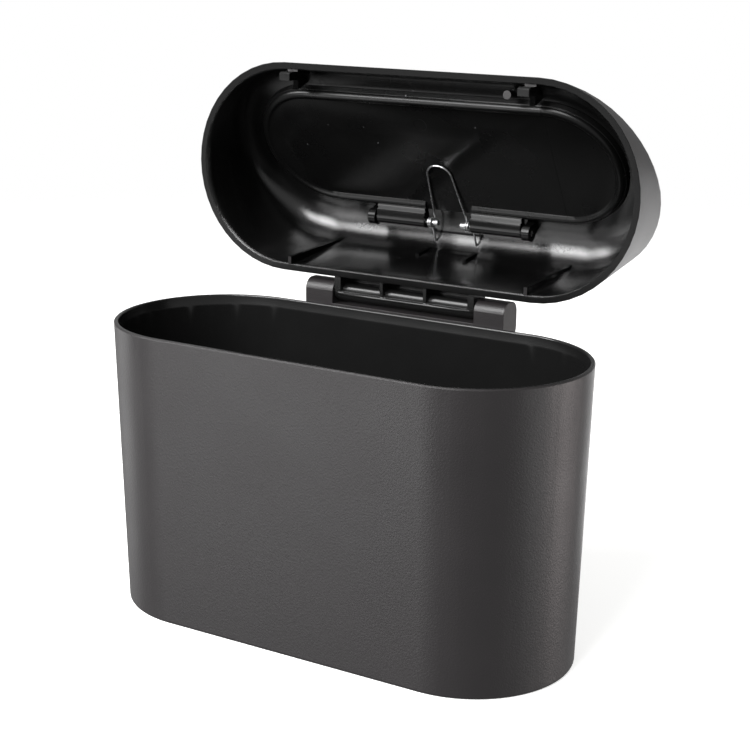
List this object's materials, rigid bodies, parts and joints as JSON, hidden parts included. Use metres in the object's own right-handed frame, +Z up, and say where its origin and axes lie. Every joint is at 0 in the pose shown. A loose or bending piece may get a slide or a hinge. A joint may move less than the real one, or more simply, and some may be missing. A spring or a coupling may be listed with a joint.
{
  "type": "car trash bin",
  "caption": "Small oval car trash bin with a hinged wedge lid and a spring-closed push-in flap, shown with the lid open.",
  "frame": {"origin": "middle of the body's underside, on the surface that the bin stands on", "axes": "+Z up; +X along the long side; +Y towards the side with the hinge"},
  "size_m": [0.165, 0.1153, 0.1769],
  "materials": {
    "body_plastic": "fine spark-eroded grain outside, gloss inside",
    "lid_plastic": "fine grain outside, gloss inside",
    "flap_plastic": "satin",
    "pin_steel": "drawn wire",
    "spring_steel": "bright drawn wire"
  },
  "bodies": {
    "body": {"bin_body": "body_plastic", "lid_hinge_pin": "pin_steel"},
    "lid": {"lid_shell": "lid_plastic", "flap_pin_left": "pin_steel", "flap_pin_right": "pin_steel", "flap_spring": "spring_steel"},
    "flap": {"push_flap": "flap_plastic"}
  },
  "joints": [
    {"name": "lid_hinge", "type": "hinge", "parent": "body", "child": "lid", "pos_m": [0, 0.0403, 0.1013], "axis": [1, 0, 0], "range_deg": [0, 90.7]},
    {"name": "flap_hinge", "type": "hinge", "parent": "lid", "child": "flap", "pos_m": [0, 0.06806, 0.12209], "axis": [1, 0, 0], "range_deg": [0, 65], "stiffness_Nm_per_rad": 0.03, "springref_deg": -28.65, "deforming": ["flap_spring"]}
  ]
}
